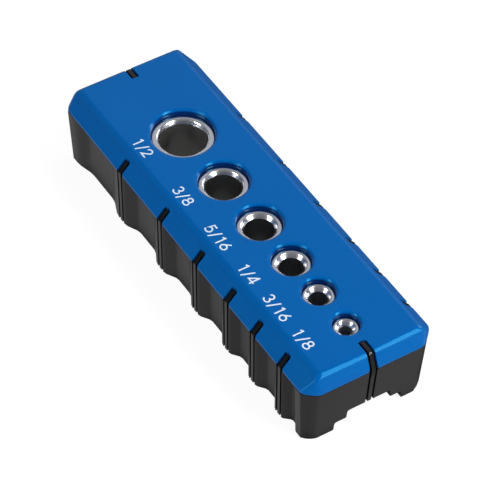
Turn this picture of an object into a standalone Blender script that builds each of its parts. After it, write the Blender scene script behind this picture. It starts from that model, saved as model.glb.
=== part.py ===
# Portable drilling guide: six hardened steel bushings in a two-piece plastic block.
# Metres, +Z up. +X runs from the largest bore to the smallest, -Y is the side with the size labels.
# The origin is at the centre of the underside.

import math

import bmesh
import bpy

for leftover in list(bpy.data.objects):
    bpy.data.objects.remove(leftover, do_unlink=True)

# Overall sizes
overall_height = 0.0238
fit_gap = 0.0003
parting_gap = 0.0003

# Blue top cover: a shallow shell with sloping flanks and cut corners
cover_width = 0.0394
cover_height = 0.0052
cover_lip = 0.0005
cover_side_slope = 0.0042
cover_end_slope = 0.00195
cover_edge_round = 0.0010
cover_top_wall = 0.0026
cover_side_wall = 0.0024
cover_end_wall = 0.0025
near_cut_along = 0.0031
near_cut_across = 0.0037
far_cut_along = 0.0043
far_cut_across = 0.0045
corner_bulge = 0.0002
dish_run = 0.00115
dish_depth = 0.0010

# Sight lines: a slot in the cover and a bead between two grooves on the base
sight_width = 0.0024
slot_corner = 0.0006
slot_flare = 0.0004
bead_width = 0.0011
bead_bend = 0.0012
groove_depth = 0.0007
bead_below_cover = 0.00025
side_slot_reach = 0.0029
end_slot_reach = 0.0062

# Black base: finger scallops between the sight lines, leaning sides, stepped channel underneath
end_face_inset = 0.0001
end_lean = 0.0012
side_lean = 0.0004
post_lean = 0.0006
near_foot_cut_along = 0.0023
near_foot_cut_across = 0.0044
far_foot_cut_along = 0.0036
far_foot_cut_across = 0.0056
foot_bulge = 0.0004
land_width = 0.0027
scallop_depth = 0.0020
first_scallop_from_end = 0.0056
ramp_start = 0.0010
ramp_share = 0.25
channel_width = 0.0131
channel_height = 0.0059
step_width = 0.0204
step_height = 0.0031
channel_inner_round = 0.0008
channel_outer_round = 0.0005
bushing_shoulder = 0.0015

# The row of guides from the blank end: label, bore, wall, web of plastic before it, width of the lead-in
blank_end = 0.0227
short_end = 0.0097
guides = [
    ("1_2", 0.0127000, 0.00195, 0.0, 0.00060),
    ("3_8", 0.0095250, 0.00175, 0.0057, 0.00070),
    ("5_16", 0.0079375, 0.00183, 0.0053, 0.00090),
    ("1_4", 0.0063500, 0.00178, 0.0045, 0.00095),
    ("3_16", 0.0047625, 0.00168, 0.0036, 0.00095),
    ("1_8", 0.0031750, 0.00163, 0.0052, 0.00095),
]
bushing_below_top = 0.0018
bushing_rim_round = 0.0005
lead_in_depth = 0.0012
collar_step = 0.0010
collar_thickness = 0.0018

# Cover screws, driven from below into bosses under the cover
screw_from_end = 0.0110
screw_diameter = 0.0029
screw_head_diameter = 0.0050
screw_head_height = 0.0018
screw_head_chamfer = 0.0008
screw_head_seat = 0.0045
screw_web = 0.0070
screw_point = 0.0010
screw_tip_gap = 0.0021
boss_diameter = 0.0054
boss_bore_rest = 0.0019

# Rubber grip strips, set into the feet
strip_proud = 0.00025
strip_thickness = 0.0014
strip_width = 0.0042
strip_from_screw = 0.0060

# Heights that follow from the sizes above
cover_bottom = overall_height - cover_height
base_top = cover_bottom - parting_gap
cover_ceiling = overall_height - cover_top_wall
spigot_top = cover_ceiling - fit_gap
foot_z = strip_proud
bushing_top = overall_height - bushing_below_top
bushing_seat = channel_height + bushing_shoulder
boss_pocket_floor = screw_head_seat + screw_web
boss_end = boss_pocket_floor + fit_gap
pilot_end = cover_ceiling - boss_bore_rest

# Lengths and half sizes that follow from the sizes above
guide_row = sum(bore + 2 * wall + web for label, bore, wall, web, lead_in in guides)
cover_length = blank_end + guide_row + short_end
half_length = cover_length / 2
half_width = cover_width / 2
base_half_length = half_length - end_face_inset
foot_centre = (step_width / 2 + half_width - side_lean - scallop_depth) / 2
screw_x = half_length - screw_from_end
screw_places = [(sx * screw_x, sy * foot_centre) for sx in (-1, 1) for sy in (-1, 1)]
strip_half_length = screw_x - strip_from_screw

cover_cuts = ((near_cut_along, near_cut_across), (far_cut_along, far_cut_across))
foot_cuts = ((near_foot_cut_along, near_foot_cut_across), (far_foot_cut_along, far_foot_cut_across))

guide_places = []
row_end = blank_end - half_length
for label, bore, wall, web, lead_in in guides:
    guide_places.append(row_end + web + wall + bore / 2)
    row_end = guide_places[-1] + bore / 2 + wall

small_turned_steps = 16
ramp_steps = 4
dish_steps = 3
corner_steps = 3
edge_steps = 3
round_profile = 0.5
overrun = 0.002


# Sides of a turned shape: more on a larger diameter, and a multiple of four
def round_steps(diameter):
    return 4 * round(5 + diameter / 0.003)


def material(name, colour, roughness, metallic=0.0):
    made = bpy.data.materials.new(name)
    made.use_nodes = True
    shader = made.node_tree.nodes["Principled BSDF"]
    shader.inputs["Base Color"].default_value = (*colour, 1.0)
    shader.inputs["Roughness"].default_value = roughness
    shader.inputs["Metallic"].default_value = metallic
    return made


def add_object(name, mesh_data, look=None):
    mesh = bpy.data.meshes.new(name)
    bmesh.ops.recalc_face_normals(mesh_data, faces=mesh_data.faces)
    mesh_data.to_mesh(mesh)
    mesh_data.free()
    made = bpy.data.objects.new(name, mesh)
    bpy.context.scene.collection.objects.link(made)
    if look is None:
        made.hide_render = True
        made.display_type = "WIRE"
    else:
        mesh.materials.append(look)
    return made


def shade_round_faces(made, angle=35):
    made.data.shade_smooth()
    made.data.set_sharp_from_angle(angle=math.radians(angle))


def combine(target, tool, operation):
    step = target.modifiers.new(tool.name, "BOOLEAN")
    step.object = tool
    step.operation = operation
    step.solver = "EXACT"


# A body through closed loops of points that all have the same count
def loft(loops):
    body = bmesh.new()
    rings = [[body.verts.new(point) for point in loop] for loop in loops]
    count = len(rings[0])
    for lower, upper in zip(rings, rings[1:]):
        for i in range(count):
            k = (i + 1) % count
            body.faces.new((lower[i], lower[k], upper[k], upper[i]))
    body.faces.new(list(reversed(rings[0])))
    body.faces.new(rings[-1])
    return body


# A level outline drawn at two heights
def extrude_up(outline, low, high):
    return loft([[(x, y, z) for x, y in outline] for z in (low, high)])


# The arc that rounds the corner between two straight runs of an outline
def round_corner(before, corner, after, radius, steps):
    runs = []
    for other in (before, after):
        length = math.dist(corner, other)
        runs.append([(other[i] - corner[i]) / length for i in (0, 1)])
    half_angle = math.acos(sum(runs[0][i] * runs[1][i] for i in (0, 1))) / 2
    reach = radius / math.tan(half_angle)
    points = []
    for step in range(steps + 1):
        t = step / steps
        weights = ((1 - t) ** 2, t ** 2)
        points.append(tuple(
            corner[i] + reach * (weights[0] * runs[0][i] + weights[1] * runs[1][i]) for i in (0, 1)
        ))
    return points


# A point at (distance out, distance across), turned about Z and moved to a centre
def turned(point, centre, angle):
    out, across = point
    return (
        centre[0] + out * math.cos(angle) - across * math.sin(angle),
        centre[1] + out * math.sin(angle) + across * math.cos(angle),
    )


# A profile of (distance out, height) points, extruded to a width and turned about Z
def fin(profile, width, centre, angle):
    return loft([
        [(*turned((d, side), centre, angle), z) for d, z in profile]
        for side in (-width / 2, width / 2)
    ])


# A profile of (radius, height) points turned about an upright axis
# A first and last radius of zero closes on the axis, otherwise the profile is a closed ring section
def turn(profile, centre, steps):
    body = bmesh.new()
    rings = []
    for radius, z in profile:
        if radius == 0:
            rings.append([body.verts.new((centre[0], centre[1], z))])
            continue
        angles = [2 * math.pi * i / steps for i in range(steps)]
        rings.append([
            body.verts.new((centre[0] + radius * math.cos(a), centre[1] + radius * math.sin(a), z))
            for a in angles
        ])
    closed = profile[0][0] > 0
    pairs = list(zip(rings, rings[1:]))
    if closed:
        pairs.append((rings[-1], rings[0]))
    for lower, upper in pairs:
        for i in range(steps):
            k = (i + 1) % steps
            below = [lower[i % len(lower)], lower[k % len(lower)]]
            above = [upper[k % len(upper)], upper[i % len(upper)]]
            body.faces.new(list(dict.fromkeys(below + above)))
    return body


# The two corners at the near side, -Y, are cut less than the two at the far side
def cut_corner_rectangle(half_x, half_y):
    (near_x, near_y), (far_x, far_y) = cover_cuts
    return [
        (-half_x + near_x, -half_y), (half_x - near_x, -half_y),
        (half_x, -half_y + near_y), (half_x, half_y - far_y),
        (half_x - far_x, half_y), (-half_x + far_x, half_y),
        (-half_x, half_y - far_y), (-half_x, -half_y + near_y),
    ]


# A cut corner that swells a little between its two ends, which stay where they are
def swollen_corner(start, end, bulge):
    across = (end[1] - start[1], start[0] - end[0])
    length = math.hypot(*across)
    points = []
    for step in range(corner_steps + 1):
        t = step / corner_steps
        swell = bulge * math.sin(math.pi * t) / length
        points.append(tuple(start[i] + t * (end[i] - start[i]) + swell * across[i] for i in (0, 1)))
    return points


def rectangle(half_x, half_y, centre=(0, 0)):
    return [
        (centre[0] - half_x, centre[1] - half_y), (centre[0] + half_x, centre[1] - half_y),
        (centre[0] + half_x, centre[1] + half_y), (centre[0] - half_x, centre[1] + half_y),
    ]


# Height of the cover's skin at a distance out from the centre, for the slope of one flank
def cover_skin(distance, half_span, slope):
    rise = cover_height - cover_lip
    inward = half_span - distance
    return cover_bottom + cover_lip + rise * min(1.0, inward / slope)


# Points along one land, as (place, depth) pairs: two grooves with the bead standing between them
def sight_land(centre):
    half_sight = sight_width / 2
    half_bead = bead_width / 2
    return [
        (centre - half_sight, 0), (centre - half_sight, groove_depth),
        (centre - half_bead, groove_depth), (centre - half_bead, 0),
        (centre + half_bead, 0), (centre + half_bead, groove_depth),
        (centre + half_sight, groove_depth), (centre + half_sight, 0),
    ]


# One finger scallop: an eased ramp in, a flat floor and an eased ramp out
def scallop(start, end, start_depth, end_depth):
    ramp = ramp_start + ramp_share * (end - start)
    points = []
    for i in range(ramp_steps + 1):
        t = i / ramp_steps
        ease = 0.5 - 0.5 * math.cos(math.pi * t)
        points.append((start + ramp * t, start_depth + (scallop_depth - start_depth) * ease))
    back = []
    for i in range(ramp_steps + 1):
        t = i / ramp_steps
        ease = 0.5 - 0.5 * math.cos(math.pi * t)
        back.append((end - ramp * t, end_depth + (scallop_depth - end_depth) * ease))
    return points + back[::-1]


# The long side of the base from end to end, as (place, depth) pairs
def long_side(post_depth):
    post = half_length - first_scallop_from_end
    points = []
    start = -post
    start_depth = post_depth
    for place in guide_places:
        points += scallop(start, place - land_width / 2, start_depth, 0)
        points += sight_land(place)
        start = place + land_width / 2
        start_depth = 0
    return points + scallop(start, post, start_depth, post_depth)


# The whole outline of the base at one level
def base_outline(half_x, half_y, post_depth, cuts, bulge):
    side = long_side(post_depth)
    post_y = half_y - post_depth
    near, far = [
        swollen_corner((half_x - cut_x, -post_y), (half_x, cut_y - half_width), bulge)
        for cut_x, cut_y in cuts
    ]
    end = [(half_x - depth, y) for y, depth in sight_land(0)]
    outline = [(-x, y) for x, y in reversed(near)]
    outline += [(x, -half_y + depth) for x, depth in side]
    outline += near + end + [(x, -y) for x, y in reversed(far)]
    outline += [(x, half_y - depth) for x, depth in reversed(side)]
    outline += [(-x, -y) for x, y in far] + [(-x, y) for x, y in reversed(end)]
    return outline


# The four cover flanks: the direction outward, the half span, the slope and where sight lines stand on them
flanks = [
    (-math.pi / 2, half_width, cover_side_slope, side_slot_reach, guide_places),
    (math.pi / 2, half_width, cover_side_slope, side_slot_reach, guide_places),
    (0.0, half_length, cover_end_slope, end_slot_reach, [0.0]),
    (math.pi, half_length, cover_end_slope, end_slot_reach, [0.0]),
]


def flank_centre(angle, place):
    on_long_side = abs(math.sin(angle)) > abs(math.cos(angle))
    return (place, 0.0) if on_long_side else (0.0, place)


# The outer form of the cover: a short upright lip, then flanks that rise to the level top
def cover_form():
    cuts = cut_corner_rectangle(half_length, half_width)
    tops = rectangle(half_length - cover_end_slope, half_width - cover_side_slope)
    body = bmesh.new()
    corners = []
    for number, (x, y) in enumerate(tops):
        start, end = cuts[2 * number - 1], cuts[2 * number]
        outline = swollen_corner(start, end, corner_bulge)
        corners.append({
            "bottom": [body.verts.new((*point, cover_bottom)) for point in outline],
            "lip": [body.verts.new((*point, cover_bottom + cover_lip)) for point in outline],
            "top": body.verts.new((x, y, overall_height)),
        })
    for number, corner in enumerate(corners):
        following = corners[(number + 1) % 4]
        bottom, lip = corner["bottom"], corner["lip"]
        for i in range(corner_steps):
            body.faces.new((bottom[i], bottom[i + 1], lip[i + 1], lip[i]))
            body.faces.new((lip[i], lip[i + 1], corner["top"]))
        body.faces.new((bottom[-1], following["bottom"][0], following["lip"][0], lip[-1]))
        body.faces.new((lip[-1], following["lip"][0], following["top"], corner["top"]))
    body.faces.new([vert for corner in reversed(corners) for vert in reversed(corner["bottom"])])
    top_face = body.faces.new([corner["top"] for corner in corners])
    bmesh.ops.bevel(
        body, geom=list(top_face.edges), offset=cover_edge_round,
        segments=edge_steps, profile=round_profile, affect="EDGES",
    )
    return body


# A slot seen from above: rounded inner corners and a mouth that flares at the cover's lower edge
def slot_outline(inner, outer):
    half_slot = sight_width / 2
    reach = outer + overrun
    side = round_corner((inner, 0), (inner, half_slot), (outer, half_slot), slot_corner, edge_steps)
    for step in range(edge_steps + 1):
        t = math.pi / 2 * step / edge_steps
        side.append((outer - slot_flare * (1 - math.sin(t)), half_slot + slot_flare * (1 - math.cos(t))))
    side.append((reach, half_slot + slot_flare))
    return side + [(d, -across) for d, across in reversed(side)]


def make_cover(look):
    cover = add_object("top_cover", cover_form(), look)

    hollow = cut_corner_rectangle(half_length - cover_end_wall, half_width - cover_side_wall)
    room = extrude_up(hollow, cover_bottom - overrun, cover_ceiling)
    combine(cover, add_object("cover_hollow", room), "DIFFERENCE")

    boss = boss_diameter / 2
    pilot = screw_diameter / 2 + fit_gap
    boss_root = cover_ceiling + cover_top_wall / 2
    for number, place in enumerate(screw_places):
        profile = [
            (0, pilot_end), (pilot, pilot_end), (pilot, boss_end),
            (boss, boss_end), (boss, boss_root), (0, boss_root),
        ]
        combine(cover, add_object(f"boss_{number}", turn(profile, place, small_turned_steps)), "UNION")

    for (label, bore, wall, web, lead_in), x in zip(guides, guide_places):
        hole = bore / 2 + wall + fit_gap
        profile = [(0, cover_ceiling - overrun), (hole, cover_ceiling - overrun)]
        for i in range(dish_steps + 1):
            t = math.pi / 2 * i / dish_steps
            profile.append((
                hole + dish_run * (1 - math.cos(t)),
                overall_height - dish_depth * (1 - math.sin(t)),
            ))
        rim = hole + dish_run
        profile += [(rim, overall_height + overrun), (0, overall_height + overrun)]
        dish = turn(profile, (x, 0), round_steps(2 * hole))
        combine(cover, add_object(f"dish_{label}", dish), "DIFFERENCE")

    for angle, half_span, slope, reach, places in flanks:
        for place in places:
            middle = flank_centre(angle, place)
            outline = [turned(point, middle, angle) for point in slot_outline(half_span - reach, half_span)]
            slot = extrude_up(outline, cover_bottom - overrun, overall_height + overrun)
            combine(cover, add_object(f"slot_{round(math.degrees(angle))}_{place:.4f}", slot), "DIFFERENCE")


# The upper edge of a sight bead: it follows the cover's skin and bends over where the flank ends
def bead_profile(half_span, slope, reach, face_inset, root):
    inner = half_span - reach + fit_gap
    outer = half_span - face_inset
    shoulder = max(inner, half_span - slope)
    low = (outer, base_top - overrun)
    knee = (outer, cover_bottom + cover_lip - bead_below_cover)
    bend = (shoulder, cover_skin(shoulder, half_span, slope) - bead_below_cover)
    profile = [(inner - root, base_top - overrun), low, knee]
    if shoulder > inner:
        tip = (inner, bend[1])
        profile += round_corner(knee, bend, tip, bead_bend, edge_steps) + [tip]
    else:
        profile.append(bend)
    return profile + [(inner, spigot_top - fit_gap), (inner - root, spigot_top - fit_gap)]


# The stepped channel from side to side, with soft corners
def channel_profile():
    half_step = step_width / 2
    half_channel = channel_width / 2
    mouth = (half_step, foot_z)
    step_root = (half_step, step_height)
    step_edge = (half_channel, step_height)
    channel_root = (half_channel, channel_height)
    corners = [
        ((half_step + overrun, foot_z), mouth, step_root, channel_outer_round),
        (mouth, step_root, step_edge, channel_inner_round),
        (step_root, step_edge, channel_root, channel_outer_round),
        (step_edge, channel_root, (0, channel_height), channel_inner_round),
    ]
    side = [(half_step + channel_outer_round, foot_z - overrun)]
    for before, corner, after, radius in corners:
        side += round_corner(before, corner, after, radius, edge_steps)
    return side + [(-y, z) for y, z in reversed(side)]


def make_base(look):
    foot = base_outline(base_half_length - end_lean, half_width - side_lean, post_lean, foot_cuts, foot_bulge)
    rim = base_outline(base_half_length, half_width, 0.0, cover_cuts, corner_bulge)
    loops = [[(x, y, foot_z) for x, y in foot], [(x, y, base_top) for x, y in rim]]
    base = add_object("base_body", loft(loops), look)

    spigot = cut_corner_rectangle(
        half_length - cover_end_wall - fit_gap, half_width - cover_side_wall - fit_gap
    )
    combine(base, add_object("spigot", extrude_up(spigot, base_top - overrun, spigot_top)), "UNION")

    for angle, half_span, slope, reach, places in flanks:
        at_end = half_span == half_length
        face_inset = end_face_inset if at_end else 0.0
        root = cover_end_wall if at_end else cover_side_wall
        profile = bead_profile(half_span, slope, reach, face_inset, root)
        for place in places:
            bead = fin(profile, bead_width, flank_centre(angle, place), angle)
            combine(base, add_object(f"bead_{round(math.degrees(angle))}_{place:.4f}", bead), "UNION")

    channel_ends = (-half_length - overrun, half_length + overrun)
    channel = loft([[(x, y, z) for y, z in channel_profile()] for x in channel_ends])
    combine(base, add_object("channel", channel), "DIFFERENCE")

    for (label, bore, wall, web, lead_in), x in zip(guides, guide_places):
        clear = bore / 2 + fit_gap
        seat = bore / 2 + wall + fit_gap
        collar = seat + collar_step
        collar_floor = spigot_top - collar_thickness - fit_gap
        profile = [
            (0, channel_height - overrun), (clear, channel_height - overrun), (clear, bushing_seat),
            (seat, bushing_seat), (seat, collar_floor), (collar, collar_floor),
            (collar, spigot_top + overrun), (0, spigot_top + overrun),
        ]
        combine(base, add_object(f"seat_{label}", turn(profile, (x, 0), round_steps(2 * seat))), "DIFFERENCE")

    for number, place in enumerate(screw_places):
        head = screw_head_diameter / 2 + fit_gap
        shank = screw_diameter / 2 + fit_gap
        pocket = boss_diameter / 2 + fit_gap
        profile = [
            (0, foot_z - overrun), (head, foot_z - overrun), (head, screw_head_seat),
            (shank, screw_head_seat), (shank, boss_pocket_floor), (pocket, boss_pocket_floor),
            (pocket, spigot_top + overrun), (0, spigot_top + overrun),
        ]
        hole = turn(profile, place, small_turned_steps)
        combine(base, add_object(f"screw_hole_{number}", hole), "DIFFERENCE")

    for side in (-1, 1):
        recess = rectangle(strip_half_length + fit_gap, strip_width / 2 + fit_gap, (0, side * foot_centre))
        body = extrude_up(recess, foot_z - overrun, strip_thickness + fit_gap)
        combine(base, add_object(f"strip_recess_{side}", body), "DIFFERENCE")


def make_bushing(label, bore, wall, lead_in, x, look):
    low = bushing_seat + fit_gap
    inner = bore / 2
    outer = bore / 2 + wall
    collar_top = spigot_top
    rim_corner = bushing_rim_round * (1 - math.cos(math.pi / 4))
    profile = [
        (inner, low), (outer, low),
        (outer, collar_top - collar_thickness), (outer + collar_step, collar_top - collar_thickness),
        (outer + collar_step, collar_top), (outer, collar_top),
        (outer, bushing_top - bushing_rim_round),
        (outer - rim_corner, bushing_top - rim_corner),
        (outer - bushing_rim_round, bushing_top),
        (inner + lead_in, bushing_top), (inner, bushing_top - lead_in_depth),
    ]
    bushing = add_object(f"guide_bushing_{label}", turn(profile, (x, 0), round_steps(2 * outer)), look)
    shade_round_faces(bushing)


def make_screw(name, place, look):
    bearing = screw_head_seat - fit_gap
    head = screw_head_diameter / 2
    shank = screw_diameter / 2
    head_low = bearing - screw_head_height
    tip = pilot_end - screw_tip_gap
    profile = [
        (0, head_low), (head - screw_head_chamfer, head_low), (head, head_low + screw_head_chamfer),
        (head, bearing), (shank, bearing), (shank, tip - screw_point), (shank - screw_point, tip), (0, tip),
    ]
    screw = add_object(name, turn(profile, place, small_turned_steps), look)
    shade_round_faces(screw)


def make_strip(name, side, look):
    outline = rectangle(strip_half_length, strip_width / 2, (0, side * foot_centre))
    add_object(name, extrude_up(outline, 0.0, strip_thickness), look)


blue_plastic = material("blue_plastic", (0.0, 0.115, 0.43), 0.38)
black_plastic = material("black_plastic", (0.035, 0.033, 0.034), 0.55)
polished_steel = material("polished_steel", (0.72, 0.72, 0.74), 0.16, 1.0)
zinc_steel = material("zinc_steel", (0.55, 0.55, 0.56), 0.3, 1.0)
grip_rubber = material("grip_rubber", (0.02, 0.02, 0.02), 0.85)

make_cover(blue_plastic)
make_base(black_plastic)
for (label, bore, wall, web, lead_in), x in zip(guides, guide_places):
    make_bushing(label, bore, wall, lead_in, x, polished_steel)
screw_names = ("rear_left", "rear_right", "front_left", "front_right")
for screw_name, screw_place in zip(screw_names, screw_places):
    make_screw(f"cover_screw_{screw_name}", screw_place, zinc_steel)
make_strip("grip_strip_left", -1, grip_rubber)
make_strip("grip_strip_right", 1, grip_rubber)
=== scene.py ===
import math

import bmesh
import bpy
import numpy as np
from mathutils import Matrix, Vector


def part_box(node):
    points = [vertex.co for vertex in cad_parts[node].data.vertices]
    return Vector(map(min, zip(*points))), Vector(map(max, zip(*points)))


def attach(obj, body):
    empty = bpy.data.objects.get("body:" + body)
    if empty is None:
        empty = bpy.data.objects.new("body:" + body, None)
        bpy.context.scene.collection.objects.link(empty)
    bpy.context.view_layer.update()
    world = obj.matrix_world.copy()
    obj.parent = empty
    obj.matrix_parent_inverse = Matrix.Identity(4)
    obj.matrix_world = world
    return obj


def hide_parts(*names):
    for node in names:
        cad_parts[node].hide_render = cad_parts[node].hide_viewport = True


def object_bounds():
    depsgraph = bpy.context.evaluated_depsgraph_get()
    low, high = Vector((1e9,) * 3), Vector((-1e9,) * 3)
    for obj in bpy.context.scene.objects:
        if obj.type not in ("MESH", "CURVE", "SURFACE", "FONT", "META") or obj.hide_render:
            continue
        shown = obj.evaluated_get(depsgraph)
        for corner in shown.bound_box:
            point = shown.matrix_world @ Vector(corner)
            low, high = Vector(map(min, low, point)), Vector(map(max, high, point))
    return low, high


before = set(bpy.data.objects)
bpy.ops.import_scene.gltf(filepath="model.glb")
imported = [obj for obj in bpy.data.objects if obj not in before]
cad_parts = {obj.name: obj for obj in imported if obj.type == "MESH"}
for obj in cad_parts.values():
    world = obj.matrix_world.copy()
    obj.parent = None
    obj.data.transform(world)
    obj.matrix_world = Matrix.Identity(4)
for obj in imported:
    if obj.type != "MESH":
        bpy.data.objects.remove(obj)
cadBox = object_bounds()
print("frame loaded:", len(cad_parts), "nodes")

mm = 0.001
turnAngle = 2 * math.pi


# Shader maths

class Wire:
    # One shader socket. Sums, products and comparisons of wires add Math nodes.
    def __init__(self, graph, socket):
        self.graph = graph
        self.socket = socket

    def __add__(self, other):
        return self.graph.math("ADD", self, other)

    def __radd__(self, other):
        return self.graph.math("ADD", other, self)

    def __sub__(self, other):
        return self.graph.math("SUBTRACT", self, other)

    def __rsub__(self, other):
        return self.graph.math("SUBTRACT", other, self)

    def __mul__(self, other):
        return self.graph.math("MULTIPLY", self, other)

    def __rmul__(self, other):
        return self.graph.math("MULTIPLY", other, self)

    def __pow__(self, other):
        return self.graph.math("POWER", self, other)

    def __lt__(self, other):
        return self.graph.math("LESS_THAN", self, other)

    def __gt__(self, other):
        return self.graph.math("GREATER_THAN", self, other)

    def __abs__(self):
        return self.graph.math("ABSOLUTE", self)


class Graph:
    # A node tree. add() makes any node from its type, its settings and the values or wires of its sockets.
    def __init__(self, owner):
        owner.use_nodes = True
        self.tree = owner.node_tree

    def found(self, kind):
        return next(n for n in self.tree.nodes if n.type == kind)

    def add(self, kind, settings=None, sockets=None, output=0):
        node = self.tree.nodes.new(kind)
        for key, value in (settings or {}).items():
            setattr(node, key, value)
        for key, value in (sockets or {}).items():
            if isinstance(value, Wire):
                self.tree.links.new(value.socket, node.inputs[key])
            else:
                node.inputs[key].default_value = value
        return Wire(self, node.outputs[output])

    def math(self, operation, *terms):
        return self.add("ShaderNodeMath", {"operation": operation}, dict(enumerate(terms)))

    def rise(self, value, low, high, way="SMOOTHSTEP"):
        # 0 up to low and 1 from high
        return self.add("ShaderNodeMapRange", {"interpolation_type": way}, {
            "Value": value, "From Min": low, "From Max": high})

    def axes(self, where):
        # The place's three coordinates, along X, across on Y and in height
        parts = self.add("ShaderNodeSeparateXYZ", {}, {0: where}).socket.node
        return [Wire(self, part) for part in parts.outputs]

    def blendColours(self, amount, first, second):
        # Colours go through Mix; sockets 6 and 7 are its two colours and output 2 its result
        return self.add("ShaderNodeMix", {"data_type": "RGBA"}, {0: amount, 6: first, 7: second}, output=2)

    def blendShaders(self, amount, first, second):
        return self.add("ShaderNodeMixShader", {}, {0: amount, 1: first, 2: second})

    def rays(self, kind):
        # 1 for one kind of ray, such as "Camera", and 0 for the others
        return self.add("ShaderNodeLightPath", output="Is %s Ray" % kind)

    def shinyRays(self):
        return self.math("MAXIMUM", self.rays("Glossy"), self.rays("Transmission"))


class Finish(Graph):
    # A material, with its Principled shader ready
    def __init__(self, name, metallic=0.0, specular=0.5):
        self.material = bpy.data.materials.new(name)
        super().__init__(self.material)
        self.surface = self.found("BSDF_PRINCIPLED")
        self.surface.inputs["Metallic"].default_value = metallic
        self.surface.inputs["Specular IOR Level"].default_value = specular

    def feed(self, **wires):
        for socketName, wire in wires.items():
            self.tree.links.new(wire.socket, self.surface.inputs[socketName.replace("_", " ")])

    def place(self):
        return self.add("ShaderNodeTexCoord", output="Object")

    def noise(self, where, scale, detail=3.0, roughness=0.5):
        return self.add("ShaderNodeTexNoise", {}, {
            "Vector": where, "Scale": scale, "Detail": detail, "Roughness": roughness})

    def grain(self, height, depth):
        return self.add("ShaderNodeBump", {}, {"Height": height, "Distance": depth, "Strength": 1.0})


def shade(red, green, blue):
    # A display colour, 0 to 255, as the linear colour that renders like it
    level = np.array([red, green, blue]) / 255
    linear = np.where(level <= 0.04045, level / 12.92, ((level + 0.055) / 1.055) ** 2.4)
    return (*linear.tolist(), 1.0)


bluePlastic = {
    "colour": shade(0, 96, 176),
    "deepColour": shade(0, 91, 169),
    "dishShadeColour": shade(0, 34, 92),
    "sunkFrom": 0.12 * mm,
    "dishShadeTo": 1.0 * mm,
    "dishesWithin": (56 * mm, 12 * mm),
    "dishRoughness": 0.15,
    "roughness": 0.30,
    "roughnessSpread": 0.08,
    "specular": 0.55,
    "specularTint": (0.08, 0.66, 1.0, 1.0),
    "grainScale": 5200.0,
    "grainDepth": 0.012 * mm,
    "cloudScale": 70.0,
}


def makeBluePlastic(name):
    # Clouded a little between two blues. In the dishes it is smooth, off turned pins, and has painted shade
    # that darkens with depth, because little light reaches their floors.
    f = Finish(name, specular=bluePlastic["specular"])
    f.surface.inputs["Specular Tint"].default_value = bluePlastic["specularTint"]
    where = f.place()
    cloud = f.noise(where, bluePlastic["cloudScale"], detail=4.0)
    grain = f.noise(where, bluePlastic["grainScale"], detail=2.0, roughness=0.6)
    along, across, height = f.axes(where)
    rowLength, rowWidth = bluePlastic["dishesWithin"]
    inRow = (abs(along) < rowLength) * (abs(across) < rowWidth)
    depth = cadBox[1].z - height
    # Painted shade: the base colour darkens with depth in the dishes
    paintedDishShade = inRow * f.rise(depth, bluePlastic["sunkFrom"], bluePlastic["dishShadeTo"])
    inDish = inRow * (depth > bluePlastic["sunkFrom"])
    level = f.blendColours(cloud, bluePlastic["deepColour"], bluePlastic["colour"])
    satin = bluePlastic["roughness"] + (cloud * 0.5 + grain * 0.5 - 0.5) * bluePlastic["roughnessSpread"]
    f.feed(
        Base_Color=f.blendColours(paintedDishShade, level, bluePlastic["dishShadeColour"]),
        Roughness=satin + inDish * (bluePlastic["dishRoughness"] - satin),
        Normal=f.grain(grain, bluePlastic["grainDepth"]),
    )
    return f.material


blackPlastic = {
    "colour": shade(23, 20, 21),
    "deepColour": shade(16, 14, 15),
    "sightColour": shade(12, 12, 13),
    "roughness": 0.30,
    "roughnessSpread": 0.12,
    "sightRoughness": 0.13,
    "sightSmoothing": 0.8,
    "specular": 0.50,
    "sparkScale": 3200.0,
    "sparkDepth": 0.022 * mm,
    "cloudScale": 55.0,
    "sightHalf": 0.75 * mm,
    "sightFrom": 17.0 * mm,
    "endSightFrom": 54.0 * mm,
}


def makeBlackPlastic(name, sightPlaces):
    # Spark-textured, and smooth and darker on the sight beads
    f = Finish(name, specular=blackPlastic["specular"])
    where = f.place()
    along, across, _ = f.axes(where)
    nearest = abs(along - sightPlaces[0])
    for place in sightPlaces[1:]:
        nearest = f.math("MINIMUM", nearest, abs(along - place))
    onSide = (nearest < blackPlastic["sightHalf"]) * (abs(across) > blackPlastic["sightFrom"])
    onEnd = (abs(across) < blackPlastic["sightHalf"]) * (abs(along) > blackPlastic["endSightFrom"])
    onSight = f.math("MAXIMUM", onSide, onEnd)
    cloud = f.noise(where, blackPlastic["cloudScale"], detail=4.0)
    spark = f.noise(where, blackPlastic["sparkScale"], roughness=0.65)
    skin = f.blendColours(cloud, blackPlastic["deepColour"], blackPlastic["colour"])
    f.feed(
        Base_Color=f.blendColours(onSight, skin, blackPlastic["sightColour"]),
        Roughness=blackPlastic["roughness"]
        + (spark - 0.5) * blackPlastic["roughnessSpread"]
        - onSight * (blackPlastic["roughness"] - blackPlastic["sightRoughness"]),
        Normal=f.grain(spark * (1 - onSight * blackPlastic["sightSmoothing"]), blackPlastic["sparkDepth"]),
    )
    return f.material


steel = {
    "colour": (0.78, 0.79, 0.82, 1.0),
    "dullColour": (0.62, 0.63, 0.66, 1.0),
    "roughness": 0.19,
    "roughnessSpread": 0.16,
    "shadedBoreColour": (0.36, 0.37, 0.39, 1.0),
    "wideBoreLitColour": (0.66, 0.65, 0.64, 1.0),
    "fineBoreLitColour": (0.55, 0.61, 0.67, 1.0),
    "wideFade": 6.0,
    "fineFade": 5.0,
    "boreRoughness": 0.28,
    "fineBoreRoughness": 0.40,
    "marksAround": 5.0,
    "marksAlong": 260.0,
    "marksMiddle": 0.35,
    "markDepth": 0.0035 * mm,
}


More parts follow.
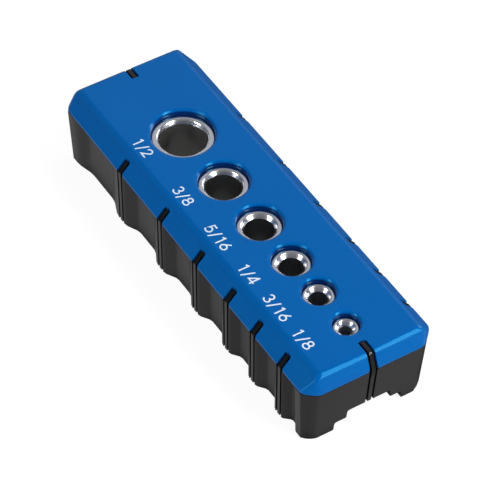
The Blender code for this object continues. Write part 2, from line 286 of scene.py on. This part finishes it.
def makeSteel(name):
    # Turning marks: noise stretched round the piece, on the turned profile's own UV map
    f = Finish(name, metallic=1.0)
    around = f.add("ShaderNodeTexCoord", output="UV")
    stretch = (steel["marksAround"], steel["marksAlong"], 1.0)
    stretched = f.add("ShaderNodeMapping", {}, {"Vector": around, "Scale": stretch})
    marks = f.noise(stretched, 1.0, roughness=0.6)
    along, _, height = f.axes(f.place())
    # Below the lead-in the bore is reamed and duller than the turned rim, and painted shade darkens it
    inBore = height < guideBoxes[0][1].z - bushing["leadInDepth"] * mm
    # Place along the row, 0 at the widest bore and 1 at the finest; both end bores are lighter inside,
    # painted light
    rowPlace = f.rise(along, guidePlaces[0], guidePlaces[-1], "LINEAR")
    wide = (1 - rowPlace) ** steel["wideFade"]
    fine = rowPlace ** steel["fineFade"]
    # Painted shade and light: a dark bore colour, lightened inside the widest and finest bores
    boreLightAndShade = f.blendColours(wide, steel["shadedBoreColour"], steel["wideBoreLitColour"])
    boreLightAndShade = f.blendColours(fine, boreLightAndShade, steel["fineBoreLitColour"])
    turned = f.blendColours(marks, steel["dullColour"], steel["colour"])
    boreRoughness = steel["boreRoughness"] + fine * (steel["fineBoreRoughness"] - steel["boreRoughness"])
    f.feed(
        Base_Color=f.blendColours(inBore, turned, boreLightAndShade),
        Roughness=steel["roughness"]
        + (marks - steel["marksMiddle"]) * steel["roughnessSpread"]
        + inBore * (boreRoughness - steel["roughness"]),
        Normal=f.grain(marks, steel["markDepth"]),
    )
    return f.material


zinc = {
    "colour": (0.66, 0.66, 0.64, 1.0),
    "warmColour": (0.60, 0.57, 0.47, 1.0),
    "warmShare": 0.7,
    "roughness": 0.30,
    "roughnessSpread": 0.2,
    "patchScale": 900.0,
    "pitScale": 6000.0,
    "pitDepth": 0.006 * mm,
}


def makeZinc(name):
    f = Finish(name, metallic=1.0)
    where = f.place()
    patch = f.noise(where, zinc["patchScale"])
    pits = f.noise(where, zinc["pitScale"], detail=2.0)
    f.feed(
        Base_Color=f.blendColours(patch * zinc["warmShare"], zinc["colour"], zinc["warmColour"]),
        Roughness=zinc["roughness"] + (patch - 0.5) * zinc["roughnessSpread"],
        Normal=f.grain(pits, zinc["pitDepth"]),
    )
    return f.material


rubber = {
    "colour": shade(40, 40, 41),
    "dustColour": shade(58, 57, 56),
    "dustScale": 240.0,
    "roughness": 0.82,
    "roughnessSpread": 0.12,
    "specular": 0.35,
    "grainScale": 2600.0,
    "grainDepth": 0.03 * mm,
}


def makeRubber(name):
    f = Finish(name, specular=rubber["specular"])
    where = f.place()
    grain = f.noise(where, rubber["grainScale"], detail=4.0, roughness=0.6)
    dust = f.noise(where, rubber["dustScale"])
    f.feed(
        Base_Color=f.blendColours(dust * dust, rubber["colour"], rubber["dustColour"]),
        Roughness=rubber["roughness"] + (grain - 0.5) * rubber["roughnessSpread"],
        Normal=f.grain(grain, rubber["grainDepth"]),
    )
    return f.material


ink = {
    "colour": shade(238, 247, 255),
    "thinColour": shade(214, 231, 252),
    "coverScale": 1500.0,
    "coverDepth": 0.006 * mm,
    "roughness": 0.42,
    "roughnessSpread": 0.15,
}


def makeInk(name):
    f = Finish(name)
    cover = f.noise(f.place(), ink["coverScale"], roughness=0.6)
    f.feed(
        Base_Color=f.blendColours(cover, ink["thinColour"], ink["colour"]),
        Roughness=ink["roughness"] + (cover - 0.5) * ink["roughnessSpread"],
        Normal=f.grain(cover, ink["coverDepth"]),
    )
    return f.material


# Meshes

def linked(name, data):
    # A new object in the scene, from a mesh, a lamp or a camera
    piece = bpy.data.objects.new(name, data)
    bpy.context.scene.collection.objects.link(piece)
    return piece


def surfaceObject(name, points, closedAlong=False, closedAcross=False, capped=False, uv=False):
    # A grid of points, rows by columns by xyz, as quads; a closed way joins its last line to its first, and a
    # cap closes each end of the rows
    rows, columns = points.shape[:2]
    rowSteps = rows if closedAlong else rows - 1
    columnSteps = columns if closedAcross else columns - 1
    i, j = np.meshgrid(np.arange(rowSteps), np.arange(columnSteps), indexing="ij")
    i2 = (i + 1) % rows
    j2 = (j + 1) % columns
    quads = np.stack([i * columns + j, i * columns + j2, i2 * columns + j2, i2 * columns + j], -1)
    faces = quads.reshape(-1, 4).tolist()
    if capped:
        faces.append(np.arange(columns)[::-1].tolist())
        faces.append(((rows - 1) * columns + np.arange(columns)).tolist())
    mesh = bpy.data.meshes.new(name)
    mesh.from_pydata(points.reshape(-1, 3).tolist(), [], faces)
    if uv:
        u = np.stack([j, j + 1, j + 1, j], -1).reshape(-1) / columnSteps
        v = np.stack([i, i, i + 1, i + 1], -1).reshape(-1) / rowSteps
        layer = mesh.uv_layers.new(name="around")
        layer.data.foreach_set("uv", np.stack([u, v], -1).ravel())
    mesh.update()
    return linked(name, mesh)


def joinMeshes(name, objects):
    # One object from several, with their faces turned outwards
    work = bmesh.new()
    for piece in objects:
        work.from_mesh(piece.data)
        bpy.data.objects.remove(piece)
    bmesh.ops.recalc_face_normals(work, faces=work.faces)
    mesh = bpy.data.meshes.new(name)
    work.to_mesh(mesh)
    work.free()
    return linked(name, mesh)


weldWithin = 0.0001 * mm


def outwards(piece):
    # Doubles merged, then every face turned outwards
    work = bmesh.new()
    work.from_mesh(piece.data)
    bmesh.ops.remove_doubles(work, verts=work.verts, dist=weldWithin)
    bmesh.ops.recalc_face_normals(work, faces=work.faces)
    work.to_mesh(piece.data)
    work.free()


def smoothBelow(piece, degrees):
    piece.data.shade_smooth()
    piece.data.set_sharp_from_angle(angle=math.radians(degrees))


def dress(piece, material, slotName, *nodes):
    # The piece's material, its body and the nodes that it stands for; its slot name is not used
    piece.data.materials.clear()
    piece.data.materials.append(material)
    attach(piece, "root")
    if nodes:
        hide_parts(*nodes)
    return piece


# Angles are in degrees
moulding = {
    "joinWithin": 0.002 * mm,
    "flatWithin": 0.4,
    "roundSteps": 4,
    "edgeSteps": 2,
    "edgeFrom": 26.0,
    "smoothBelow": 34,
    "coverEdge": 0.14 * mm,
    "baseEdge": 0.16 * mm,
    "coverCorner": 0.80 * mm,
    "cornerFrom": 25.0,
    "cornersPast": (52 * mm, 11 * mm),
    "leastLean": 0.3,
}


def atCorner(edge):
    # An outer edge between two upright or leaning faces that look different ways
    if len(edge.link_faces) != 2:
        return False
    first, second = [face.normal.xy for face in edge.link_faces]
    middle = (edge.verts[0].co.xy + edge.verts[1].co.xy) / 2
    past = abs(middle.x) > moulding["cornersPast"][0] and abs(middle.y) > moulding["cornersPast"][1]
    if not past or min(first.length, second.length) < moulding["leastLean"]:
        return False
    outer = first.dot(middle) > 0 and second.dot(middle) > 0
    return outer and abs(math.degrees(first.angle_signed(second))) > moulding["cornerFrom"]


def mouldedPiece(nodeName, name, edgeRound, largerRounds=()):
    # The node's own form: its loose triangles joined, its flats made whole and its sharp edges broken. Each
    # larger round is a test that picks its edges and a size.
    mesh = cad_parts[nodeName].data.copy()
    mesh.name = name
    work = bmesh.new()
    work.from_mesh(mesh)
    bmesh.ops.remove_doubles(work, verts=work.verts, dist=moulding["joinWithin"])
    bmesh.ops.dissolve_limit(
        work, angle_limit=math.radians(moulding["flatWithin"]), verts=work.verts, edges=work.edges
    )
    for picked, size in largerRounds:
        bmesh.ops.bevel(
            work, geom=[edge for edge in work.edges if picked(edge)], offset=size,
            segments=moulding["roundSteps"], profile=0.5, affect="EDGES"
        )
    work.to_mesh(mesh)
    work.free()
    piece = linked(name, mesh)
    bevel = piece.modifiers.new("brokenEdges", "BEVEL")
    bevel.width = edgeRound
    bevel.segments = moulding["edgeSteps"]
    bevel.limit_method = "ANGLE"
    bevel.angle_limit = math.radians(moulding["edgeFrom"])
    bevel.miter_outer = "MITER_ARC"
    evaluated = piece.evaluated_get(bpy.context.evaluated_depsgraph_get())
    finished = bpy.data.meshes.new_from_object(evaluated)
    piece.modifiers.clear()
    piece.data = finished
    smoothBelow(piece, moulding["smoothBelow"])
    piece.modifiers.new("evenShading", "WEIGHTED_NORMAL").keep_sharp = True
    return piece


# Cover and base

topHeight = cadBox[1].z
inkThickness = 0.03 * mm
guideNames = ["1_2", "3_8", "5_16", "1_4", "3_16", "1_8"]
guideBoxes = [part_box("guide_bushing_" + guideName) for guideName in guideNames]
guidePlaces = [(low.x + high.x) / 2 for low, high in guideBoxes]
collar = {"step": 1.0 * mm, "top": 20.9 * mm, "thickness": 1.8 * mm}  # the ring that the cover holds down
guideRadii = [(high.x - low.x) / 2 - collar["step"] for low, high in guideBoxes]

# The dish round a guide starts a gap away from it, and its slope runs out from there. A point is on its rims
# when it is this near to them, and no further below the dish's floor.
dish = {
    "gap": 0.3 * mm,
    "run": 1.15 * mm,
    "depth": 1.0 * mm,
    "rimRound": 0.35 * mm,
    "nearRim": 0.05 * mm,
    "belowFloor": 0.1 * mm,
}


def nearDishRim(point):
    # On the inner or the outer edge of the dish round a guide
    rims = (dish["gap"], dish["gap"] + dish["run"])
    fromAxis = [
        math.hypot(point.x - place, point.y) - radius for place, radius in zip(guidePlaces, guideRadii)
    ]
    nearest = min(abs(distance - rim) for distance in fromAxis for rim in rims)
    return point.z > topHeight - dish["depth"] - dish["belowFloor"] and nearest < dish["nearRim"]


def onDishRim(edge):
    return nearDishRim(edge.verts[0].co) and nearDishRim(edge.verts[1].co)


# The level top ends at a crease on each side, along X and along Y. The crease's round reaches this far along
# both of its faces, and the lower one tilts by these degrees.
crease = {
    "half": (59.245 * mm, 15.5 * mm),
    "tilt": (67.5, 48.2),
    "reach": 1.0 * mm,
    "slack": 0.03 * mm,
    "widened": 1.4,
}


def widenCreases(points):
    # A round keeps touching both of its faces when its section grows about the corner line that they would
    # meet in: place = corner + growth * (place - corner), across each crease and in height. The growth fades
    # to none at the far side, where the crease is crisp.
    half = np.array(crease["half"])
    inward = half - np.abs(points[:, :2])
    drop = topHeight - points[:, 2]
    reach = crease["reach"] + crease["slack"]
    deepest = crease["reach"] * np.sin(np.radians(crease["tilt"])) + crease["slack"]
    near = (inward < reach) & (drop[:, None] < deepest)
    nearness = np.clip(0.5 - points[:, 1] / (2 * crease["half"][1]), 0, 1)
    growth = 1 + (crease["widened"] - 1) * nearness
    moved = np.sign(points[:, :2]) * (half - growth[:, None] * inward)
    points[:, :2] = np.where(near, moved, points[:, :2])
    points[:, 2] = np.where(near.any(1), topHeight - growth * drop, points[:, 2])


coverRounds = [(atCorner, moulding["coverCorner"]), (onDishRim, dish["rimRound"])]
cover = mouldedPiece("top_cover", "topCover", moulding["coverEdge"], coverRounds)
points = np.zeros(len(cover.data.vertices) * 3)
cover.data.vertices.foreach_get("co", points)
points = points.reshape(-1, 3)
widenCreases(points)
points[:, 2] = np.minimum(points[:, 2], topHeight - inkThickness)  # room for the printed sizes
cover.data.vertices.foreach_set("co", points.ravel())
dress(cover, makeBluePlastic("satinBluePlastic"), "blue_plastic", "top_cover")

base = mouldedPiece("base_body", "baseBody", moulding["baseEdge"])
dress(base, makeBlackPlastic("sparkBlackPlastic", guidePlaces), "black_plastic", "base_body")
print("cover and base ready:", len(cover.data.polygons), len(base.data.polygons), "faces")


# Guide bushings

# In mm
bushing = {
    "bores": [12.7, 9.525, 7.9375, 6.35, 4.7625, 3.175],  # the drills' own diameters
    "leadInWidths": [0.6, 0.7, 0.9, 0.95, 0.95, 0.95],
    "leadInDepth": 1.2,
    "seated": 0.27,  # the real guide fills the gap that its solid keeps to the seat
    "rimRound": 0.5,
    "mouthRound": 0.9,
    "throatRound": 0.15,
    "footBreak": 0.35,
    "footRound": 0.3,
    "otherRounds": 0.1,
    "roundSteps": 7,
    "around": 160,
    "smoothBelow": 35,  # degrees
}


def roundedProfile(corners, radii, steps):
    # A closed profile with each corner replaced by an arc: the quadratic curve from one tangent point to the
    # other, with the corner as its middle handle
    corners = np.asarray(corners, float)
    toLast = np.roll(corners, 1, 0) - corners
    toNext = np.roll(corners, -1, 0) - corners
    toLast /= np.linalg.norm(toLast, axis=1, keepdims=True)
    toNext /= np.linalg.norm(toNext, axis=1, keepdims=True)
    half = np.arccos(np.clip((toLast * toNext).sum(1), -1, 1)) / 2
    reach = (radii / np.tan(half))[:, None]
    t = np.linspace(0, 1, steps)[None, :, None]
    start = (corners + toLast * reach)[:, None, :]
    end = (corners + toNext * reach)[:, None, :]
    middle = corners[:, None, :]
    return ((1 - t) ** 2 * start + 2 * t * (1 - t) * middle + t**2 * end).reshape(-1, 2)


def turnedPoints(profile, centreX, around):
    # The profile of radius and height, carried round an upright axis in the row
    angle = np.linspace(0, turnAngle, around, endpoint=False)
    radius = profile[:, :1]
    height = profile[:, 1:] + 0 * angle
    return np.stack([centreX + radius * np.cos(angle), radius * np.sin(angle), height], -1)


def makeBushing(index, material):
    low, high = guideBoxes[index]
    outer = guideRadii[index] + bushing["seated"] * mm
    flange = guideRadii[index] + collar["step"]
    flangeLow = collar["top"] - collar["thickness"]
    bore = bushing["bores"][index] / 2 * mm
    throat = bore + bushing["leadInWidths"][index] * mm
    lead = bushing["leadInDepth"] * mm
    foot = bushing["footBreak"] * mm
    other = bushing["otherRounds"]
    corners = [
        (outer, high.z), (throat, high.z), (bore, high.z - lead), (bore, low.z + foot), (bore + foot, low.z),
        (outer, low.z), (outer, flangeLow), (flange, flangeLow),
        (flange, collar["top"]), (outer, collar["top"]),
    ]
    radii = np.array([
        bushing["rimRound"], bushing["mouthRound"], bushing["throatRound"], other, other,
        bushing["footRound"], other, other, other, other,
    ]) * mm
    profile = roundedProfile(corners, radii, bushing["roundSteps"])
    points = turnedPoints(profile, guidePlaces[index], bushing["around"])
    name = "guideBushing" + guideNames[index]
    piece = surfaceObject(name, points, closedAlong=True, closedAcross=True, uv=True)
    outwards(piece)
    smoothBelow(piece, bushing["smoothBelow"])
    return dress(piece, material, "polished_steel", "guide_bushing_" + guideNames[index])


steelFinish = makeSteel("turnedSteel")
for index in range(len(guideNames)):
    makeBushing(index, steelFinish)
print("guide bushings ready")


# Printed sizes

# In mm. The section is across and up, in half strokes and in thicknesses of ink.
printing = {
    "height": 3.3,
    "stroke": 0.42,
    "section": [(-1, 0), (-1, 0.55), (-0.8, 1), (0.8, 1), (1, 0.55), (1, 0)],
    "liftStep": 0.001,
    "sharpestBend": 0.3,
    "rowY": -12.05,
    "arcSteps": 20,
    "centres": {"1/2": -30.62, "3/8": -10.12, "5/16": 7.06, "1/4": 22.0, "3/16": 35.12, "1/8": 47.44},
}


def arc(centreX, centreY, radiusX, radiusY, fromDegrees, toDegrees):
    # Points on an ellipse between two angles
    angle = np.radians(np.linspace(fromDegrees, toDegrees, printing["arcSteps"]))
    return np.stack([centreX + radiusX * np.cos(angle), centreY + radiusY * np.sin(angle)], -1)


def line(*points):
    return np.array(points, float)


# Each figure: the paper before it, its width, the paper after it, and its strokes in mm above the base line
figures = {
    "1": (0.75, 1.05, 0.75, [line((0.12, 2.66), (0.84, 3.06)), line((0.84, 0.0), (0.84, 3.3))]),
    "2": (0.3, 2.35, 0.1, [
        np.concatenate([arc(1.12, 2.34, 0.84, 0.75, 185, -38), line((0.34, 0.21), (2.3, 0.21))])
    ]),
    "3": (0.1, 2.2, 0.12, [
        arc(1.05, 2.37, 0.74, 0.72, 168, -90), arc(1.05, 0.93, 0.92, 0.72, 90, -165)
    ]),
    "4": (0.05, 2.6, 0.1, [line((1.88, 3.2), (0.34, 0.84), (2.55, 0.84)), line((1.88, 0.0), (1.88, 3.3))]),
    "5": (0.1, 2.25, 0.08, [
        np.concatenate([
            line((1.98, 3.09), (0.66, 3.09), (0.42, 1.72)), arc(1.02, 1.13, 0.98, 0.92, 118, -150)
        ])
    ]),
    "6": (0.15, 2.3, 0.1, [arc(1.15, 1.05, 0.93, 0.84, 0, 360), line((1.78, 3.2), (0.38, 1.46))]),
    "8": (0.15, 2.4, 0.1, [arc(1.2, 2.39, 0.73, 0.70, 0, 360), arc(1.2, 0.95, 0.96, 0.74, 0, 360)]),
    "/": (0.3, 1.75, 0.1, [line((0.2, -0.38), (1.55, 3.3))]),
}


def stroke(path, lift):
    # The ink's low crowned section carried along a flat path. A bend spreads it by 1 / cos of half its angle.
    width = printing["stroke"] * mm / 2
    closed = np.allclose(path[0], path[-1])
    if closed:
        path = path[:-1]
        before = path - np.roll(path, 1, 0)
        after = np.roll(path, -1, 0) - path
    else:
        step = np.diff(path, axis=0)
        before = np.concatenate([step[:1], step])
        after = np.concatenate([step, step[-1:]])
    before /= np.linalg.norm(before, axis=1, keepdims=True)
    after /= np.linalg.norm(after, axis=1, keepdims=True)
    middle = before + after
    middle /= np.linalg.norm(middle, axis=1, keepdims=True)
    spread = 1 / np.clip((middle * before).sum(1), printing["sharpestBend"], 1)
    aside = np.stack([-middle[:, 1], middle[:, 0]], -1) * spread[:, None]
    section = np.array(printing["section"])
    flat = path[:, None, :] + aside[:, None, :] * section[None, :, :1] * width
    height = topHeight - inkThickness + section[:, 1] * (inkThickness - lift)
    points = np.concatenate([flat, np.broadcast_to(height[None, :, None], (*flat.shape[:2], 1))], -1)
    return surfaceObject("stroke", points, closedAlong=closed, closedAcross=True, capped=not closed)


def printSize(text, centre, material):
    widths = [sum(figures[character][:3]) for character in text]
    total = sum(widths) - figures[text[0]][0] - figures[text[-1]][2]
    pen = centre - total / 2 - figures[text[0]][0]
    strokes = []
    for character, width in zip(text, widths):
        for path in figures[character][3]:
            start = np.array([pen + figures[character][0], printing["rowY"] - printing["height"] / 2])
            lift = printing["liftStep"] * mm * (len(strokes) + 1)  # crossing strokes keep apart in height
            strokes.append(stroke((path + start) * mm, lift))
        pen += width
    name = "printedSize" + text.replace("/", "_")
    return dress(joinMeshes(name, strokes), material, "blue_plastic")


inkFinish = makeInk("printedInk")
for text, centre in printing["centres"].items():
    printSize(text, centre, inkFinish)
print("printed sizes ready")


# Cover screws

# In mm
screw = {
    "headRadius": 2.5,
    "headHeight": 1.8,
    "headRound": 0.8,
    "headRings": 34,
    "roundSteps": 8,
    "seatBreak": 0.1,
    "driveReach": 1.35,
    "driveTaper": 0.55,
    "driveHalf": 0.36,
    "driveDepth": 1.05,
    "driveSoftness": 0.035,
    "neck": 0.2,
    "neckHeight": 0.15,
    "crest": 1.45,
    "root": 1.08,
    "pitch": 1.15,
    "threadHalf": 0.32,  # of a pitch
    "threadFrom": 1.2,
    "threadFade": 1.0,
    "threadRows": 150,
    "point": 1.2,
    "pointPower": 0.6,
    "innermost": 0.02,
    "around": 72,
    "smoothBelow": 42,  # degrees
}


def makeScrew(nodeName, name, material):
    # Head: rings from the drive's middle over a quarter-round rim to the shank. The cross is a drop in height
    # where either axis is within half a blade. Shank: radius = root + (crest - root) * a peaked wave of
    # height / pitch - turn.
    low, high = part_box(nodeName)
    middleX, middleY = (low.x + high.x) / 2, (low.y + high.y) / 2
    angle = np.linspace(0, turnAngle, screw["around"], endpoint=False)[None, :]
    allRound = 0 * angle
    faceRadius = screw["headRadius"] - screw["headRound"]
    ring = np.linspace(screw["innermost"], faceRadius, screw["headRings"])[:, None]
    across = np.abs(ring * np.cos(angle))
    along = np.abs(ring * np.sin(angle))
    blade = np.minimum(across, along)
    reach = np.maximum(across, along)
    inBlade = 1 / (1 + np.exp((blade - screw["driveHalf"]) / screw["driveSoftness"]))
    inReach = np.clip((screw["driveReach"] - reach) / screw["driveTaper"], 0, 1)
    faceHeight = screw["driveDepth"] * inBlade * inReach
    tilt = np.linspace(0, math.pi / 2, screw["roundSteps"] + 1)[1:, None]
    rimRing = faceRadius + screw["headRound"] * np.sin(tilt)
    rimHeight = screw["headRound"] * (1 - np.cos(tilt))
    under = screw["headHeight"]
    seatRing = np.array([
        [screw["headRadius"]], [screw["headRadius"] - screw["seatBreak"]], [screw["root"] + screw["neck"]]
    ])
    seatHeight = np.array([[under - screw["seatBreak"]], [under], [under]])
    length = (high.z - low.z) / mm
    rise = np.linspace(under + screw["neckHeight"], length, screw["threadRows"])[:, None]
    wave = (rise / screw["pitch"] - angle / turnAngle) % 1.0
    peak = np.clip(1 - np.abs(wave - 0.5) / screw["threadHalf"], 0, 1)
    fade = np.clip((rise - under - screw["threadFrom"]) / screw["threadFade"], 0, 1)
    toPoint = np.clip((length - rise) / screw["point"], 0.0, 1) ** screw["pointPower"]
    threadRing = (screw["root"] + (screw["crest"] - screw["root"]) * peak * fade) * toPoint
    threadRing = np.maximum(threadRing, screw["innermost"])
    rings = np.concatenate([ring + allRound, rimRing + allRound, seatRing + allRound, threadRing])
    heights = np.concatenate([faceHeight, rimHeight + allRound, seatHeight + allRound, rise + allRound])
    points = np.stack([
        middleX + rings * mm * np.cos(angle), middleY + rings * mm * np.sin(angle), low.z + heights * mm
    ], -1)
    piece = surfaceObject(name, points, closedAcross=True, capped=True)
    outwards(piece)
    smoothBelow(piece, screw["smoothBelow"])
    return dress(piece, material, "zinc_steel", nodeName)


zincFinish = makeZinc("zincPlate")
for side in ("rear", "front"):
    for hand in ("left", "right"):
        name = "coverScrew" + side.title() + hand.title()
        makeScrew("cover_screw_%s_%s" % (side, hand), name, zincFinish)
print("cover screws ready")


# Grip strips

# In mm; the crown is a share of the strip's height
strip = {
    "ribPitch": 2.0,
    "ribHeight": 0.22,
    "ribsFrom": 0.5,
    "endRound": 0.5,
    "leastEnd": 0.05,
    "crown": 0.3,
    "topCrown": 0.2,
    "sideSteps": 17,
    "rowsPerMm": 5,
    "smoothBelow": 38,  # degrees
}


def makeStrip(nodeName, name, material):
    # A rounded bar carried along X, with ribs under it: height = rib * (1 - |cos|) of place / pitch
    low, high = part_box(nodeName)
    halfWidth = (high.y - low.y) / 2
    endRound = strip["endRound"] * mm
    rows = int((high.x - low.x) / mm * strip["rowsPerMm"]) + 1
    along = np.linspace(low.x, high.x, rows)
    side = np.linspace(-1, 1, strip["sideSteps"])
    under = low.z + (high.z - low.z) * strip["crown"] * np.abs(side) ** 6
    over = high.z - strip["topCrown"] * mm * np.abs(side) ** 8
    fromEnd = np.minimum(along - low.x, high.x - along)
    toEnd = 1 - np.clip(fromEnd / endRound, 0, 1)
    narrow = np.sqrt(np.clip(1 - toEnd ** 2, strip["leastEnd"], 1))
    rib = 1 - np.abs(np.cos(math.pi * (along - low.x) / (strip["ribPitch"] * mm)))
    rib = strip["ribHeight"] * mm * rib * np.clip(fromEnd / mm - strip["ribsFrom"], 0, 1)
    middleY = (low.y + high.y) / 2
    lower = np.stack([
        along[:, None] + 0 * side,
        middleY + (halfWidth - (1 - narrow[:, None]) * endRound) * side,
        under[None, :] + rib[:, None] * (1 - np.abs(side) ** 10),
    ], -1)
    upper = lower[:, ::-1, :].copy()
    upper[:, :, 2] = over[None, :]
    points = np.concatenate([lower, upper], 1)
    piece = surfaceObject(name, points, closedAcross=True, capped=True)
    outwards(piece)
    smoothBelow(piece, strip["smoothBelow"])
    return dress(piece, material, "grip_rubber", nodeName)


rubberFinish = makeRubber("ribbedRubber")
for hand in ("left", "right"):
    makeStrip("grip_strip_" + hand, "gripStrip" + hand.title(), rubberFinish)
print("grip strips ready")


# Floor, lamps and camera

studio = {
    "floorHalf": 3.0,
    "floorSteps": 9,
    "floorGlow": 0.90,
    "floorWhite": 0.19,
    "floorBounce": 0.62,
    "floorShine": (0.41, 0.405, 0.40, 1.0),
    "paintedFloorShadow": (0.06, 0.06, 0.06, 1.0),
    "floorFrom": -4 * mm,
    "floorTo": 1 * mm,
    "skyLevel": 0.24,
    "sideSky": (0.14, 0.14, 0.15, 1.0),
    "highSky": (0.24, 0.24, 0.26, 1.0),
    "highFrom": 0.35,
    "highTo": 0.62,
    "sheetSky": (0.54, 0.55, 0.58, 1.0),
    "sheetFrom": 0.60,
    "sheetTo": 0.84,
    "sheetDirection": (-0.756, 0.500, 0.423),
    # azimuth and height in degrees from the object's middle, distance, width and height in metres, watts
    "lamps": {
        "rightBox": (122.0, 38.0, 1.0, 0.24, 0.80, 6.4),
        "leftBox": (-5.0, 30.0, 1.0, 0.34, 0.60, 4.0),
        "frontFill": (108.0, 16.0, 1.3, 0.26, 0.20, 4.4),
        "backBox": (186.0, 26.0, 1.0, 0.40, 0.24, 2.4),
    },
}
white = (1, 1, 1, 1)


def directionFrom(azimuth, height):
    # Azimuth 0 is on the -Y side and 90 on the +X side
    a, h = math.radians(azimuth), math.radians(height)
    return Vector((math.sin(a) * math.cos(h), -math.cos(a) * math.cos(h), math.sin(h)))


def makeFloor():
    # To the camera it is a white sheet that keeps the object's shadow. Shiny surfaces see it grey, with a
    # painted shadow under and behind the block, and all other light comes off a plain pale floor.
    half = studio["floorHalf"]
    side = np.linspace(-half, half, studio["floorSteps"])
    x, y = np.meshgrid(side, side, indexing="ij")
    floor = surfaceObject("paleFloor", np.stack([x, y, 0 * x], -1))
    f = Finish("paleFloor")
    glow = f.add("ShaderNodeEmission", {}, {"Color": white, "Strength": studio["floorGlow"]})
    pale = f.add("ShaderNodeBsdfDiffuse", {}, {"Color": (*[studio["floorWhite"]] * 3, 1)})
    plain = f.add("ShaderNodeBsdfDiffuse", {}, {"Color": (*[studio["floorBounce"]] * 3, 1)})
    along, across, _ = f.axes(f.place())
    # Painted shadow: the grey that shiny surfaces see darkens under and behind the block
    beside = f.math("MAXIMUM", cadBox[0].y - across, along - cadBox[1].x)
    outsidePaintedShadow = f.rise(beside, studio["floorFrom"], studio["floorTo"])
    greys = f.blendColours(outsidePaintedShadow, studio["paintedFloorShadow"], studio["floorShine"])
    sheen = f.add("ShaderNodeEmission", {}, {"Color": greys, "Strength": 1.0})
    shown = f.add("ShaderNodeAddShader", {}, {0: glow, 1: pale})
    unseen = f.blendShaders(f.shinyRays(), plain, sheen)
    mixed = f.blendShaders(f.rays("Camera"), unseen, shown)
    f.tree.links.new(mixed.socket, f.found("OUTPUT_MATERIAL").inputs["Surface"])
    f.tree.nodes.remove(f.surface)
    floor.data.materials.append(f.material)


def makeSky():
    # White to the camera. Shiny surfaces see a pale sheet behind the object, a dim room round it and a grey
    # ceiling, and all others get an even light from it.
    sky = bpy.data.worlds.new("studioSky")
    bpy.context.scene.world = sky
    g = Graph(sky)
    outward = g.add("ShaderNodeTexCoord", output="Generated")
    facing = g.add("ShaderNodeVectorMath", {"operation": "DOT_PRODUCT"}, {
        0: outward, 1: studio["sheetDirection"]}, output=1)
    sheet = g.rise(facing, studio["sheetFrom"], studio["sheetTo"])
    ceiling = g.rise(g.axes(outward)[2], studio["highFrom"], studio["highTo"])
    room = g.blendColours(ceiling, studio["sideSky"], studio["highSky"])
    seenColour = g.blendColours(sheet, room, studio["sheetSky"])
    shinyShown = g.add("ShaderNodeBackground", {}, {"Color": seenColour, "Strength": 1.0})
    plainWhite = g.add("ShaderNodeBackground", {}, {"Color": white, "Strength": 1.0})
    falling = g.add("ShaderNodeBackground", {}, {"Color": white, "Strength": studio["skyLevel"]})
    lit = g.blendShaders(g.shinyRays(), falling, shinyShown)
    mixed = g.blendShaders(g.rays("Camera"), lit, plainWhite)
    g.tree.links.new(mixed.socket, g.found("OUTPUT_WORLD").inputs["Surface"])


def makeLamps():
    for name, (azimuth, height, distance, wide, high, power) in studio["lamps"].items():
        light = bpy.data.lights.new(name, "AREA")
        light.shape = "RECTANGLE"
        light.size = wide
        light.size_y = high
        light.energy = power
        outward = directionFrom(azimuth, height)
        turned = outward.to_track_quat("Z", "Y").to_matrix().to_4x4()
        linked(name, light).matrix_world = Matrix.Translation(outward * distance) @ turned


cameraPlace = {
    "from": Vector((0.38842, -0.25474, 0.50898)),
    "aim": Vector((0.01101, -0.00475, 0.0186)),
    "roll": 1.82,
    "focal": 186.19,
    "sensor": 36.0,
    "near": 0.01,
    "far": 50.0,
}


def makeCamera():
    data = bpy.data.cameras.new("photoCamera")
    data.sensor_width = cameraPlace["sensor"]
    data.lens = cameraPlace["focal"]
    data.clip_start = cameraPlace["near"]
    data.clip_end = cameraPlace["far"]
    camera = linked("photoCamera", data)
    back = (cameraPlace["from"] - cameraPlace["aim"]).normalized()
    right = Vector((0, 0, 1)).cross(back).normalized()
    up = back.cross(right)
    roll = math.radians(cameraPlace["roll"])
    rolledRight = math.cos(roll) * right + math.sin(roll) * up
    rolledUp = math.cos(roll) * up - math.sin(roll) * right
    turned = Matrix((rolledRight, rolledUp, back)).transposed().to_4x4()
    camera.matrix_world = Matrix.Translation(cameraPlace["from"]) @ turned
    bpy.context.scene.camera = camera


makeFloor()
makeSky()
makeLamps()
makeCamera()
bpy.context.scene.view_settings.view_transform = "Standard"
print("studio ready")
